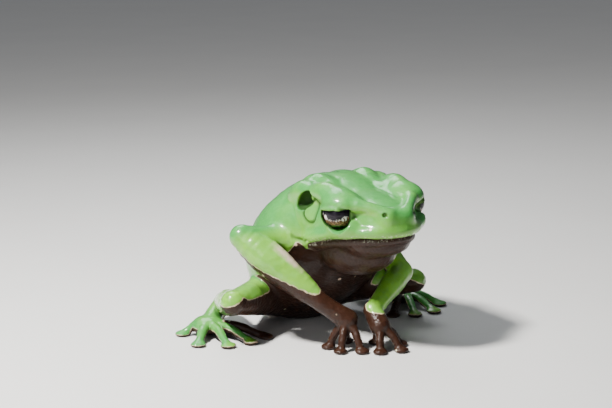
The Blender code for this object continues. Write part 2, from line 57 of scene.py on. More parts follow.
# The eyes: the middle between them in head places, how far ahead each looks for its look outward,
# the low bulge of the cornea, with its spread in radians, and the room around the ball.
EYE_RADIUS = 5.7
EYES_AHEAD, EYES_UP = -2.8, 0.4
EYE_LOOKS_AHEAD = 0.75
CORNEA_RISE, CORNEA_SPREAD = 0.45, 0.55
EYE_GAP = 0.12

# The lids. The openings are given along each eye's own directions: out, toward the snout, and up.
LID_THICKNESS = {"r": 1.1, "l": 0.5}
UPPER_LID_HEIGHT = {"r": 1.7, "l": 0.7}
LID_EDGE_RADIUS = 0.5
LID_EDGE_TURN = (-55, 62)
LID_TILT = 0.085
OPENING_PLACE = (8.0, 0.3, -0.2)
OPENING_RADII = {"r": (9.0, 6.2, 6.5), "l": (8.0, 4.4, 4.2)}
OPENING_EDGE = {"r": 0.4, "l": 0.6}

# Nostrils and ears, in head places. An ear drum is given ahead and up only.
NOSTRIL, NOSTRIL_RADII = (13.9, 6.2, 1.1), (1.1, 0.8, 0.6)
EAR_PIT, EAR_PIT_RADII, EAR_PIT_LEAN = (-19.4, 18.4, 2.1), (5.2, 3.5, 2.8), 38.0
EAR_DRUM, EAR_DRUM_LEAN = (-15.0, -0.8), 33.0

# The digits and their discs, which the floor flattens from below.
DISC_THICKNESS, DISC_SINK = 2.2, 0.3
FINGER_RADIUS, FINGER_DISC = 1.4, 2.5
TOE_RADIUS, TOE_DISC = 1.6, 2.8

# How wide the blends are inside each kind of link, and between the links.
SKULL_BLEND, PALATE_BLEND, LID_BLEND = 3.4, 1.0, 1.2
TRUNK_BLEND, NAPE_BLEND = 5.0, 7.0
ELBOW_BLEND, WRIST_BLEND, KNEE_BLEND, HEEL_BLEND, DIGIT_BLEND = 1.2, 1.5, 0.8, 1.0, 2.0
LINK_BLEND = 0.5

# The sampling of the skin: the coarse step, how many fine steps are in it, how deep a filled place
# lies inside, how far from a form its distance is true, and the distance far from all of them.
COARSE_STEP = 1.2
FINE_SHARE = 3
FILL_DEPTH = 0.02
BAND = 1.6
FAR = 5.0


def vec(*parts):
    return np.array(parts, float)


def length(v):
    return np.linalg.norm(v, axis=-1)


def unit(v):
    return v / length(v)


def node_centre(name):
    low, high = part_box(name)
    return np.array((low + high) / 2) / MM


class Frame:
    """An origin with three directions: ahead, to the animal's right, and up."""

    def __init__(self, origin, right, pitch=0.0):
        tip = math.radians(pitch)
        up = vec(0.0, 0.0, 1.0)
        level = np.cross(up, right)
        self.origin = np.array(origin, float)
        ahead = level * math.cos(tip) + up * math.sin(tip)
        self.axes = np.column_stack([ahead, right, up * math.cos(tip) - level * math.sin(tip)])

    def at(self, ahead, right, up):
        return self.origin + self.axes @ vec(ahead, right, up)

    def toward(self, ahead, right, up):
        return unit(self.axes @ vec(ahead, right, up))

    def local(self, points):
        return (points - self.origin) @ self.axes


EYES = {name: node_centre("eye_" + name) for name in SIDES}
RIGHT = unit((EYES["r"] - EYES["l"]) * vec(1, 1, 0))
HEAD = Frame((EYES["r"] + EYES["l"]) / 2, RIGHT)
HEAD.origin = HEAD.at(-EYES_AHEAD, 0, -EYES_UP)
GROUND = Frame(HEAD.origin * vec(1, 1, 0), RIGHT)


# ---- soft forms

class Ball:
    """An egg shape, with its radii along a frame's directions."""

    def __init__(self, centre, radii, axes=HEAD.axes):
        self.centre = np.array(centre, float)
        self.radii = np.broadcast_to(np.array(radii, float), 3)
        self.axes = axes
        reach = np.sqrt(((axes * self.radii) ** 2).sum(1))
        self.box = self.centre - reach, self.centre + reach

    def distance(self, p):
        q = (p - self.centre) @ self.axes
        near = length(q / self.radii)
        slope = length(q / self.radii ** 2)
        return near * (near - 1) / np.maximum(slope, 1e-9)


def smooth_rows(rows, steps):
    """Catmull-Rom curve through rows of any number of values."""
    if len(rows) == 2:
        return rows
    ends = np.vstack([2 * rows[0] - rows[1], rows, 2 * rows[-1] - rows[-2]])
    out = []
    for a, b, c, d in zip(ends, ends[1:], ends[2:], ends[3:]):
        for t in np.arange(steps) / steps:
            bend = (2 * a - 5 * b + 4 * c - d) * t * t + (3 * b - a - 3 * c + d) * t ** 3
            out.append(0.5 * (2 * b + (c - a) * t + bend))
    return np.array(out + [rows[-1]])


class Tube:
    """A round limb along a smooth curve: each entry is a point and the radius there."""

    def __init__(self, entries, steps=4):
        rows = np.array([[*point, radius] for point, radius in entries], float)
        self.rows = smooth_rows(rows, steps)
        points, radii = self.rows[:, :3], self.rows[:, 3:]
        self.box = (points - radii).min(0), (points + radii).max(0)

    def distance(self, p):
        return self.nearest(p)[0]

    def nearest(self, p):
        """The distance to the limb, and the point of its middle line that is nearest."""
        best = np.full(len(p), np.inf)
        foot = np.zeros((len(p), 3))
        for start, end in zip(self.rows[:-1], self.rows[1:]):
            along = end[:3] - start[:3]
            t = np.clip(((p - start[:3]) @ along) / (along @ along), 0, 1)
            radius = start[3] + t * (end[3] - start[3])
            middle = start[:3] + t[:, None] * along
            gap = length(p - middle) - radius
            closer = gap < best
            best[closer] = gap[closer]
            foot[closer] = middle[closer]
        return best, foot


def blend(a, b, width):
    """The nearer of two forms, grown together over a width where they meet."""
    near = np.maximum(width - np.abs(a - b), 0) / width
    return np.minimum(a, b) - near ** 3 * width / 6


def carve(a, b, width):
    """Form a with form b taken out of it, with a rounded edge."""
    return -blend(-a, b, width)


def inside_box(p, box, margin):
    low, high = box
    return ((p > low - margin) & (p < high + margin)).all(1)


class Cap:
    """The part of a form on the side of a plane that its normal points to."""

    def __init__(self, form, point, normal, width=0.5):
        self.form, self.point, self.normal, self.width = form, point, normal, width
        self.box = form.box

    def distance(self, p):
        return carve(self.form.distance(p), (p - self.point) @ self.normal, self.width)


class Link:
    """Forms that grow together, with the width of the blend between them."""

    def __init__(self, forms, width):
        self.forms, self.width = forms, width
        lows, highs = zip(*[form.box for form in forms])
        self.box = np.min(lows, 0) - width, np.max(highs, 0) + width

    def distance(self, p):
        total = np.full(len(p), FAR)
        for form in self.forms:
            near = inside_box(p, form.box, self.width + BAND)
            total[near] = blend(total[near], form.distance(p[near]), self.width)
        return total


# ---- the animal

def mirrored(line):
    """A line of head places from its middle to the right, continued to the left."""
    return [(a, -r, u) for a, r, u in reversed(line[1:])] + line


def head_tube(places, radii):
    return Tube([(HEAD.at(*place), radius) for place, radius in zip(places, radii)])


def head_ball(place, radii):
    return Ball(HEAD.at(*place), radii)


SPINE = Frame(GROUND.at(-40, 0, 31), RIGHT, pitch=46)


def trunk_forms():
    return [Ball(SPINE.origin, (32, 27.6, 20.5), SPINE.axes),
            Ball(GROUND.at(-27, 0, 38), (15, 18, 14)),
            Ball(GROUND.at(-52, 0, 14), (14, 20, 15)),
            Ball(GROUND.at(-58, 0, 10), (11, 13, 10))]


def skull_forms():
    """The broad flat head: crown, snout, upper lip, brows, ridges and cheeks."""
    lip = [(14.0, 0, -5.2), (12.8, 4.8, -5.2), (9.3, 9.8, -5.4), (3, 14.4, -6.0),
           (-6, 17.3, -7.7), (-16, 18.5, -10.8)]
    forms = [head_ball((-8, 0, -1.5), (21, 15, 7.2)),
             head_ball((-23, 0, 2.8), (13, 13, 6.5)),
             head_ball((3.0, 0, -3.2), (11.6, 11, 6.0)),
             head_tube([(11.4, -3.6, -1.0), (11.4, 3.6, -1.0)], [3.4, 3.4]),
             head_tube(mirrored(lip), [1.9] * 11)]
    for s in SIDES.values():
        snout_edge = [(12.6, s * 3.6, 1.2), (8.6, s * 7.4, 2.7), (4.6, s * 10.8, 3.7)]
        outer_ridge = [(-4, s * 13.0, 4.6), (-11, s * 14.6, 5.9), (-18, s * 15, 4.6),
                       (-26, s * 15.5, 4.0), (-34, s * 14, -5)]
        inner_ridge = [(-19, s * 8.5, 4.6), (-26, s * 10, 5.0), (-37, s * 10, -6)]
        forms += [head_tube(snout_edge, [1.6, 1.9, 2.2]),
                  head_ball((-3.0, s * 13.0, 3.3), (7.8, 6.8, 5.0)),
                  head_ball((-1.5, s * 14.0, -4.2), (8.0, 4.8, 4.2)),
                  head_ball((-12.5, s * 9.5, 2.2), (7.5, 5.5, 5.3)),
                  head_tube(outer_ridge, [3.6, 3.9, 3.6, 3.9, 5.0]),
                  head_tube(inner_ridge, [4.4, 5.0, 6.0]),
                  head_ball((-13, s * 13.2, -5), (8.5, 5.0, 8)),
                  head_ball((-23, s * 14.6, -4.5), (8.5, 5.2, 9.5)),
                  head_ball((-17.5, s * 16.6, -12.2), (4.5, 2.8, 3.2))]
    return forms


def jaw_forms():
    """The lower jaw, set back a little under the lip, and the throat behind it."""
    rim = [(12.0, 0, -8.4), (11.0, 4.4, -8.5), (7.6, 8.6, -8.8), (1.4, 11.8, -9.6),
           (-7, 14.6, -11.4), (-16, 16.4, -14.0)]
    return [head_tube(mirrored(rim), [1.5] * 11),
            head_ball((-3, 0, -12), (13.6, 12.0, 4.6)),
            head_ball((-13, 0, -17), (14, 14, 8.6))]


def eye_axes(side):
    """The way an eye looks, the level way across that toward the snout, and up, as columns."""
    out = HEAD.toward(EYE_LOOKS_AHEAD, side, 0)
    return np.column_stack([out, HEAD.toward(1, -side * EYE_LOOKS_AHEAD, 0), HEAD.axes[:, 2]])


def eye_opening(name, side):
    """What is carved away between the lids: round below, and straight under the upper lid."""
    centre, axes = EYES[name], eye_axes(side)
    hollow = Ball(centre + axes @ vec(*OPENING_PLACE), OPENING_RADII[name], axes)
    under_lid = LID_TILT * axes[:, 1] - axes[:, 2]
    return Cap(hollow, centre + axes[:, 2] * UPPER_LID_HEIGHT[name], under_lid)


ARMS = {
    "r": {"shoulder": (-28, 15, 36), "elbow": (-31, 37.5, 39), "wrist": (-9.9, 18, 17),
          "palm": (-4.5, 10, 10.5), "tips": [(-11, 6.2), (-8, 16), (-0.5, 15.5), (3.6, 9)]},
    "l": {"shoulder": (-28, -15, 36), "elbow": (-14.5, -19, 22), "wrist": (-2.5, 0.5, 13),
          "palm": (2, 0.5, 8.5), "tips": [(-4.2, -1.4), (7.6, 4), (9.6, -3.8), (2.7, -8)]},
}
LEGS = {
    "r": {"hip": (-52, 13, 10.5), "knee": (-28.5, 43, 16), "heel": (-60, 30, 7.5),
          "sole": (-47.5, 43.5, 3.6),
          "tips": [(-31, 28.5), (-27.5, 36.5), (-28, 45.5), (-35, 54), (-50.5, 52.5)]},
    "l": {"hip": (-53, -12, 10.5), "knee": (-26, -33, 14.4), "heel": (-59, -29, 7.5),
          "sole": (-46.5, -41.5, 3.6),
          "tips": [(-30.5, -26.5), (-26.5, -34), (-27, -43), (-34.5, -51), (-50.5, -52.5)]},
}


def places(limb):
    """The limb's joints in space, with the tips of its digits on the floor."""
    joints = {name: GROUND.at(*place) for name, place in limb.items() if name != "tips"}
    height = DISC_THICKNESS / 2 - DISC_SINK
    joints["tips"] = [GROUND.at(ahead, right, height) for ahead, right in limb["tips"]]
    return joints


def level_axes(run):
    """The level way along a run, the level way across it, and up, as columns."""
    level = unit(run * vec(1, 1, 0))
    return np.column_stack([level, vec(-level[1], level[0], 0), vec(0, 0, 1)])


def digit_forms(root, tip, radius, disc):
    """A finger or toe: it rises a little to its knuckle and ends in a flat round disc."""
    run = tip - root
    rise = vec(0, 0, 0.8 + 0.045 * length(run))
    axes = level_axes(run)
    bone = Tube([(root, radius * 1.3), (root + run * 0.5 + rise, radius * 1.05),
                 (root + run * 0.8 + rise * 0.35, radius * 0.9),
                 (tip - axes[:, 0] + vec(0, 0, 0.4), radius * 0.8)])
    return [bone, Ball(tip, (disc * 0.95, disc, DISC_THICKNESS / 2), axes)]


def arm_forms(arm):
    shoulder, elbow, wrist, palm, _ = arm.values()
    run = wrist - elbow
    bulge = 0.172 * length(run)
    upper = Tube([(shoulder, 6.0), ((shoulder + elbow) / 2, 4.4), (elbow, 4.2)])
    fore = Tube([(elbow, 4.4), (elbow + run * 0.3, bulge), (elbow + run * 0.65, bulge * 0.83),
                 (wrist, 3.1)])
    hand = Tube([(wrist, 3.1), (palm, 3.6)])
    return upper, fore, hand


def leg_forms(leg):
    hip, knee, heel, sole, _ = leg.values()
    thigh = Tube([(hip, 8.6), ((hip + knee) / 2, 6.5), (knee, 4.3)])
    shank = Tube([(knee, 4.3), (knee + (heel - knee) * 0.4, 4.9), (heel, 3.7)])
    foot = Tube([(heel, 3.7), (sole, 3.5)])
    return thigh, shank, foot


def sole_form(leg):
    """The broad flat middle of the foot, from which the toes spread."""
    return Ball(leg["sole"], (7.0, 5.6, 3.4), level_axes(leg["sole"] - leg["heel"]))


TRUNK, SKULL, JAW = trunk_forms(), skull_forms(), jaw_forms()
LIMBS = {name: {"arm": places(ARMS[name]), "leg": places(LEGS[name])} for name in SIDES}


def lid_edge():
    """The thick edge of the right upper lid, from the rear corner of the eye to its front one."""
    out, ahead, up = eye_axes(SIDES["r"]).T
    height = UPPER_LID_HEIGHT["r"] + LID_EDGE_RADIUS
    middle = EYES["r"] + up * height
    reach = math.sqrt((EYE_RADIUS + LID_EDGE_RADIUS) ** 2 - height ** 2)
    turns = np.radians(np.linspace(*LID_EDGE_TURN, 7))
    ways = [math.cos(turn) * out + math.sin(turn) * (ahead + LID_TILT * up) for turn in turns]
    return Tube([(middle + reach * way, LID_EDGE_RADIUS) for way in ways], 2)


def flesh():
    """Every link of the body."""
    palate = head_ball((-3, 0, -7.5), (15.5, 12.6, 3.2))
    links = [Link(SKULL, SKULL_BLEND), Link([palate], PALATE_BLEND), Link(JAW + TRUNK, TRUNK_BLEND),
             Link(SKULL[:2] + TRUNK[:2], NAPE_BLEND)]
    for name, limbs in LIMBS.items():
        arm, leg = limbs["arm"], limbs["leg"]
        upper, fore, hand = arm_forms(arm)
        thigh, shank, foot = leg_forms(leg)
        sole = sole_form(leg)
        links += [Link(TRUNK[:2] + [upper], TRUNK_BLEND), Link([upper, fore], ELBOW_BLEND),
                  Link([fore, hand], WRIST_BLEND), Link([TRUNK[2], TRUNK[0], thigh], TRUNK_BLEND),
                  Link([thigh, shank], KNEE_BLEND), Link([shank, foot, sole], HEEL_BLEND)]
        for tip in arm["tips"]:
            finger = digit_forms(arm["palm"], tip, FINGER_RADIUS, FINGER_DISC)
            links.append(Link([hand] + finger, DIGIT_BLEND))
        for tip in leg["tips"]:
            toe = digit_forms(leg["sole"], tip, TOE_RADIUS, TOE_DISC)
            links.append(Link([sole] + toe, DIGIT_BLEND))
        lids = [Ball(EYES[name], EYE_RADIUS + LID_THICKNESS[name])]
        if name == "r":  # the left lid has no thick edge
            lids.append(lid_edge())
        links.append(Link([SKULL[0], SKULL[2]] + lids, LID_BLEND))
    return links


def pit_axes():
    """The directions of an ear pit, which leans forward as it rises, as columns."""
    lean = math.radians(EAR_PIT_LEAN)
    ahead = HEAD.toward(math.cos(lean), 0, math.sin(lean))
    right = HEAD.axes[:, 1]
    return np.column_stack([ahead, right, np.cross(right, ahead)])


def nostril_place(side):
    """Where a nostril opens on the skin."""
    return settle(HEAD.at(NOSTRIL[0], side * NOSTRIL[1], NOSTRIL[2])[None], 2.0)[0][0]


def openings():
    """What is carved out of the head, each with the roundness of its edge."""
    carved = []
    for name, side in SIDES.items():
        pit = HEAD.at(EAR_PIT[0], side * EAR_PIT[1], EAR_PIT[2])
        carved += [(eye_opening(name, side), OPENING_EDGE[name]),
                   (Ball(EYES[name], EYE_RADIUS + EYE_GAP), 0.1),
                   (Ball(nostril_place(side), NOSTRIL_RADII), 0.5),
                   (Ball(pit, EAR_PIT_RADII, pit_axes()), 0.7)]
    return carved


# The openings are found further down, because the nostrils are placed on the uncarved skin.
LINKS, CARVED = flesh(), []


def skin_distance(p):
    """How far points lie outside the skin; true near it, and at most FAR."""
    total = np.full(len(p), FAR)
    for link in LINKS:
        near = inside_box(p, link.box, BAND)
        total[near] = blend(total[near], link.distance(p[near]), LINK_BLEND)
    for form, width in CARVED:
        near = inside_box(p, form.box, width + BAND)
        total[near] = carve(total[near], form.distance(p[near]), width)
    return np.maximum(total, -p[:, 2])


# ---- from forms to a mesh

def sample():
    """Distances on a fine grid: measured where a coarse grid says that the skin is near."""
    lows, highs = zip(*[link.box for link in LINKS])
    low, high = np.min(lows, 0) - COARSE_STEP, np.max(highs, 0) + COARSE_STEP
    low[2] = -1.5 * COARSE_STEP
    cells = np.ceil((high - low) / COARSE_STEP).astype(int)
    places = np.indices(cells + 1).reshape(3, -1).T
    coarse = skin_distance(low + places * COARSE_STEP).reshape(cells + 1)
    near = np.zeros(cells, bool)
    reach = np.abs(coarse) < COARSE_STEP * 1.1
    for x, y, z in np.ndindex(2, 2, 2):
        near |= reach[x:x + cells[0], y:y + cells[1], z:z + cells[2]]
    step = COARSE_STEP / FINE_SHARE
    fine = coarse[:-1, :-1, :-1]
    for axis in range(3):
        fine = fine.repeat(FINE_SHARE, axis)
        near = near.repeat(FINE_SHARE, axis)
    spots = np.argwhere(near)
    fine[near] = skin_distance(low + spots * step)
    return fine, low, step


def fill_hollows(field):
    """Make solid what no way through the open reaches from outside."""
    free = field >= 0
    reached = np.zeros_like(free)
    for axis in range(3):
        side = reached.swapaxes(0, axis)
        side[0] = side[-1] = True
    reached &= free
    before = -1
    while reached.sum() > before:
        before = reached.sum()
        for axis in range(3):
            way, room = reached.swapaxes(0, axis), free.swapaxes(0, axis)
            for i in range(1, len(way)):
                way[i] |= way[i - 1] & room[i]
            for i in range(len(way) - 2, -1, -1):
                way[i] |= way[i + 1] & room[i]
    field[free & ~reached] = -FILL_DEPTH


LOWER, UPPER = slice(0, -1), slice(1, None)


def join_diagonals(field):
    """Fill one corner of each grid square whose inside corners meet only across its diagonal.

    The surface would touch itself along an edge there.
    """
    found = True
    while found:
        found = False
        for u, v in ((0, 1), (1, 2), (2, 0)):
            corners = []
            for ends in ((LOWER, LOWER), (UPPER, UPPER), (LOWER, UPPER), (UPPER, LOWER)):
                cut = [slice(None)] * 3
                cut[u], cut[v] = ends
                corners.append(field[tuple(cut)])
            a, b, c, d = corners
            split = ((a < 0) == (b < 0)) & ((c < 0) == (d < 0)) & ((a < 0) != (c < 0))
            found = found or split.any()
            for first, second in ((a, b), (c, d)):
                outside = split & (first >= 0)
                nearer = first <= second
                first[outside & nearer] = -FILL_DEPTH
                second[outside & ~nearer] = -FILL_DEPTH


def surface(field, low, step):
    """Vertices and quads where the grid of distances is zero, one vertex for each crossed cell."""
    inside = field < 0
    size = np.array(field.shape) - 1
    corners = sum(inside[x:x + size[0], y:y + size[1], z:z + size[2]].astype(np.int8)
                  for x, y, z in np.ndindex(2, 2, 2))
    crossed = (corners > 0) & (corners < 8)
    cells = np.argwhere(crossed)
    index = np.full(crossed.shape, -1)
    index[crossed] = np.arange(len(cells))
    total, hits = np.zeros((len(cells), 3)), np.zeros(len(cells))
    quads = []
    for axis, (u, v) in enumerate(((1, 2), (2, 0), (0, 1))):
        first, second = (field[tuple(end if i == axis else slice(None) for i in range(3))]
                         for end in (LOWER, UPPER))
        change = (first < 0) != (second < 0)
        edges = np.argwhere(change)
        place = edges.astype(float)
        place[:, axis] += first[change] / (first[change] - second[change])
        ring = []
        for du, dv in ((-1, -1), (0, -1), (0, 0), (-1, 0)):
            cell = edges.copy()
            cell[:, u] += du
            cell[:, v] += dv
            ids = index[tuple(cell.T)]
            np.add.at(total, ids, place)
            np.add.at(hits, ids, 1)
            ring.append(ids)
        quad = np.stack(ring, 1)
        backward = first[change] >= 0
        quad[backward] = quad[backward][:, ::-1]
        quads.append(quad)
    return total / hits[:, None] * step + low, np.concatenate(quads)


def slope(points, value, reach=0.05):
    """The direction in which the distance grows, and how fast, at each point."""
    moved = [skin_distance(points + reach * way) for way in np.eye(3)]
    return np.column_stack([(there - value) / reach for there in moved])


def settle(points, reach=0.2):
    """Points moved onto the skin, no further than a reach, and the way out of it there."""
    value = skin_distance(points)
    rise = slope(points, value)
    steep = np.maximum((rise ** 2).sum(1), 0.25)
    shift = np.clip(value / steep, -reach, reach)
    return points - shift[:, None] * rise, rise / np.sqrt(steep)[:, None]


CARVED = openings()


# ---- relief and markings

def noise(points, size, seed=0):
    """Smooth values from -1 to 1 that look random and change over a length in millimetres."""
    q = points / size + 0.37 * seed
    cell = np.floor(q).astype(np.int64)
    part = q - cell
    ease = part * part * (3 - 2 * part)
    total = np.zeros(len(points))
    for corner in np.ndindex(2, 2, 2):
        x, y, z = (cell + corner).T
        mixed = (x * 73856093) ^ (y * 19349663) ^ (z * 83492791) ^ (seed * 2654435761)
        mixed = ((mixed ^ (mixed >> 13)) * 1274126177) & 0x7FFFFFFF
        value = ((mixed >> 9) & 0xFFFF) / 32767.5 - 1
        total += value * np.where(corner, ease, 1 - ease).prod(1)
    return total


def ease_between(value, zero, one):
    """0 at the zero bound and beyond it, 1 at the one bound and beyond it, and smooth between."""
    share = np.clip((value - zero) / (one - zero), 0, 1)
    return share * share * (3 - 2 * share)


def bell(value, width):
    """1 where the value is 0, and smoothly down to 0 on both sides over a width."""
    return np.exp(-(value / width) ** 2)


# The line of the mouth from the shoulder to the tip of the snout, given ahead and up.
MOUTH_LINE = [(-34, -27), (-26, -18.5), (-19.3, -15.8), (-16.5, -14.6), (-15, -12.4),
              (-6, -9.75), (3, -8.0), (14, -7.15), (19, -6.9)]

# The ear drum's round end, how far below its middle that lies, and how far its point is from there.
DRUM_RADIUS, DRUM_MIDDLE, DRUM_POINT = 3.3, -1.4, 6.2


def drum_shape(head):
    """How far a head place lies outside its ear drum's outline: a drop with its point up ahead."""
    across, up = head[:, 0] - EAR_DRUM[0], head[:, 2] - EAR_DRUM[1]
    lean = math.radians(EAR_DRUM_LEAN)
    along = up * math.cos(lean) + across * math.sin(lean) - DRUM_MIDDLE
    side = across * math.cos(lean) - up * math.sin(lean)
    point = np.clip(along / DRUM_POINT, 0, 1)
    reach = np.where(along > 0, along * DRUM_RADIUS / DRUM_POINT, along)
    outside = np.hypot(side / (1 - 0.5 * point), reach) - DRUM_RADIUS
    return np.where((np.abs(head[:, 1]) > 14) & (np.hypot(across, up) < 8), outside, FAR)


# Folds at the eye's front corner, behind it and at the corner of the mouth: lines given ahead and
# up, with how high, how wide and how much shade is painted along each.
FOLDS = [
    ([(2.6, 1.9), (3.1, 1.1), (3.2, 0.1), (2.9, -1.0), (2.1, -2.2)], 0.7, 0.75, 0.0),
    ([(3.1, 2.6), (3.9, 1.9), (4.4, 0.9), (4.4, -0.3), (3.9, -1.5), (2.9, -2.7)], -0.45, 0.6, 0.8),
    ([(1.4, 1.6), (1.9, 0.4), (1.5, -1.0)], -0.2, 0.5, 0.6),
    ([(-14.5, 4.6), (-11.5, 2.4), (-8.8, 0.3)], -0.4, 0.5, 0.7),
    ([(-27, -9.5), (-26, -12), (-22.5, -14.2), (-18, -14.6), (-15.5, -13.2)], 0.5, 1.0, 0.0),
    ([(-24.5, -9.5), (-22, -12), (-18.5, -12.6), (-15, -11.4)], -0.4, 0.5, 0.5),
]


def fold_shares(head):
    """For each fold, how near each head place is to its line: 1 on it, and 0 well away from it."""
    aside = np.abs(head[:, 1])
    near = (aside > 9) & (aside < 22) & (np.abs(head[:, 0]) < 32) & (np.abs(head[:, 2]) < 20)
    spots = head[near][:, (0, 2)]
    for line, height, width, groove_shade in FOLDS:
        gap = np.full(len(spots), FAR)
        for first, last in zip(line, line[1:]):
            start, run = vec(*first), vec(*last) - vec(*first)
            share = np.clip((spots - start) @ run / (run @ run), 0, 1)
            gap = np.minimum(gap, length(spots - start - share[:, None] * run))
        shares = np.zeros(len(head))
        shares[near] = bell(gap, width)
        yield shares, height, groove_shade


# The heights of the relief, and the widths and places of its ridges and grooves.
LUMPS, LIMB_LUMPS, FINE_LUMPS = 0.20, 0.10, 0.05
DRUM_RISE, DRUM_GROOVE, DRUM_GROOVE_WIDTH = 0.18, 0.45, 0.45
BELLY_PEBBLES, BELLY_WRINKLES = 0.08, 0.05
BACK_PIMPLES, BACK_LUMPS = 0.07, 0.25
HIP_RIDGE, HIP_RIDGE_ASIDE, HIP_RIDGE_TURN, HIP_RIDGE_WIDTH = 1.1, 8.5, 0.12, 3.0
SPINE_GROOVE, SPINE_GROOVE_WIDTH = 0.5, 2.0


def relief(points):
    """How far each point of the skin stands out: lumps, folds, ear drums, grain and ridges."""
    head, spine = HEAD.local(points), SPINE.local(points)
    face = ease_between(head[:, 2], -12, -4) * ease_between(head[:, 0], -30, -20)
    limb = ease_between(np.abs(GROUND.local(points)[:, 1]), 18, 26)
    broad = (LUMPS + (LIMB_LUMPS - LUMPS) * limb) * noise(points, 9.0, 1)
    height = (1 - 0.6 * face) * (broad + FINE_LUMPS * noise(points, 3.5, 2))
    drum = drum_shape(head)
    height += DRUM_RISE * ease_between(drum, -0.2, -1.2)
    height -= DRUM_GROOVE * bell(drum, DRUM_GROOVE_WIDTH)
    for share, rise, _ in fold_shares(head):
        height += rise * share
    under = ease_between(spine[:, 2], -2, -10) * ease_between(head[:, 2], -8, -14)
    wrinkles = noise(points * vec(1, 1, 2.4), 3.2, 5)
    height += under * (BELLY_PEBBLES * noise(points, 1.3, 3) + BELLY_WRINKLES * wrinkles)
    back = ease_between(spine[:, 2], 2, 9) * ease_between(head[:, 0], -22, -30)
    height += back * (BACK_PIMPLES * noise(points, 1.6, 7) + BACK_LUMPS * noise(points, 5.0, 8))
    along, aside = spine[:, 0], np.abs(spine[:, 1])
    hips = ease_between(along, -28, -12) * ease_between(along, 4, -4)
    ridge = bell(aside - HIP_RIDGE_ASIDE + HIP_RIDGE_TURN * along, HIP_RIDGE_WIDTH)
    groove = ease_between(along, -10, 2) * bell(aside, SPINE_GROOVE_WIDTH)
    return height + back * (HIP_RIDGE * hips * ridge - SPINE_GROOVE * groove)


# For each limb segment, in the order of arm_forms and leg_forms: where its green stripe faces
# (ahead, outward, up), and its share at both ends. A digit or a sole has the same share throughout.
STRIPES = {
    "r": {"upper": ((0.5, 0.3, 1.0), 0.5, 0.4), "fore": ((0.8, 0.0, 0.75), 0.5, -0.95),
          "hand": ((0.2, 0, 1), -1.3, -1.4), "thigh": ((0.1, 0.0, 1), -0.7, -0.25),
          "shank": ((0.1, 0.8, 0.7), -0.3, 0.2), "foot": ((0.2, 0.4, 1), 0.5, 0.3)},
    "l": {"upper": ((0.7, 0.6, 0.6), 0.6, 0.6), "fore": ((0.9, 0.3, 0.4), 0.6, 0.2),
          "hand": ((0.4, 0.2, 1), -0.5, -1.3), "thigh": ((0.2, 0.1, 1), 0.1, -0.2),
          "shank": ((0.1, 0.7, 0.8), 0.0, 0.4), "foot": ((0.2, 0.4, 1), 0.5, 0.3)},
}
FINGER_GREEN = (-1.6, -1.6, -1.6, -1.5)
TOE_GREEN = (-1.5, -0.2, 0.1, 0.2, 0.2)
SOLE_GREEN = -0.1
PAD_LESS_GREEN = 0.6

# The depth inside the green that still counts, and how far the marks of a form reach and blend.
GREEN_LIMIT = 3.0
MARK_BAND, MARK_BLEND = 3.0, 0.6


def distance_near(points, form):
    """How far each point is from a form, as far as its marks reach, and FAR beyond that."""
    gap = np.full(len(points), FAR)
    near = inside_box(points, form.box, MARK_BAND)
    gap[near] = form.distance(points[near])
    return gap


def share_along(tube, spots):
    """How far along a tube's straight run each spot is, from 0 at its start to 1 at its end."""
    start, run = tube.rows[0, :3], tube.rows[-1, :3] - tube.rows[0, :3]
    return (spots - start) @ run / (run @ run)


def stripe(points, out, form, toward, first, last):
    """How far each point is from a limb form, and how far inside the form's green stripe."""
    gap, inside = np.full(len(points), FAR), np.zeros(len(points))
    near = inside_box(points, form.box, MARK_BAND)
    here = points[near]
    if isinstance(form, Tube):
        gap[near], middle = form.nearest(here)
        along = np.clip(share_along(form, middle), 0, 1)
        size = length(here - middle)
    else:
        gap[near], along, size = form.distance(here), 0, form.radii.min()
    inside[near] = (out[near] @ toward + first + (last - first) * along) * size
    return gap, inside


def limb_stripes(name, side):
    """Every limb form of one side, with the way its stripe faces and how much of it is green."""
    arm, leg = LIMBS[name]["arm"], LIMBS[name]["leg"]
    for form, (way, first, last) in zip(arm_forms(arm) + leg_forms(leg), STRIPES[name].values()):
        yield form, GROUND.toward(way[0], side * way[1], way[2]), first, last
    up = GROUND.axes[:, 2]
    yield sole_form(leg), up, SOLE_GREEN, SOLE_GREEN
    fingers = arm["tips"], FINGER_GREEN, arm["palm"], FINGER_RADIUS, FINGER_DISC
    toes = leg["tips"], TOE_GREEN, leg["sole"], TOE_RADIUS, TOE_DISC
    for tips, greens, root, radius, disc in (fingers, toes):
        for tip, green in zip(tips, greens):
            bone, pad = digit_forms(root, tip, radius, disc)
            yield bone, up, green, green
            yield pad, up, green - PAD_LESS_GREEN, green - PAD_LESS_GREEN


def green_rows(points, out):
    """For each form: how far away it is, how far inside its green, and how pale its border is."""
    head, spine = HEAD.local(points), SPINE.local(points)
    lip = head[:, 2] - np.interp(head[:, 0], *np.array(MOUTH_LINE).T)
    flank = spine[:, 2] + 7.0 + 0.10 * spine[:, 0]
    for forms, width, inside, pale in ((SKULL, SKULL_BLEND, lip, 0.0), (JAW, TRUNK_BLEND, lip, 0.0),
                                       (TRUNK, TRUNK_BLEND, flank, 1.0)):
        yield distance_near(points, Link(forms, width)), inside, pale
    for name, side in SIDES.items():
        for row in limb_stripes(name, side):
            yield *stripe(points, out, *row), 1.0


def markings(points, out):
    """How far each point lies inside the green of the back, and how pale the border is there."""
    total, green, cream = (np.zeros(len(points)) for _ in range(3))
    for gap, inside, pale in green_rows(points, out):
        weight = np.exp(-np.maximum(gap, -1.0) / MARK_BLEND)
        total += weight
        green += weight * np.clip(inside, -GREEN_LIMIT, GREEN_LIMIT)
        cream += weight * pale
    return green / total, cream / total
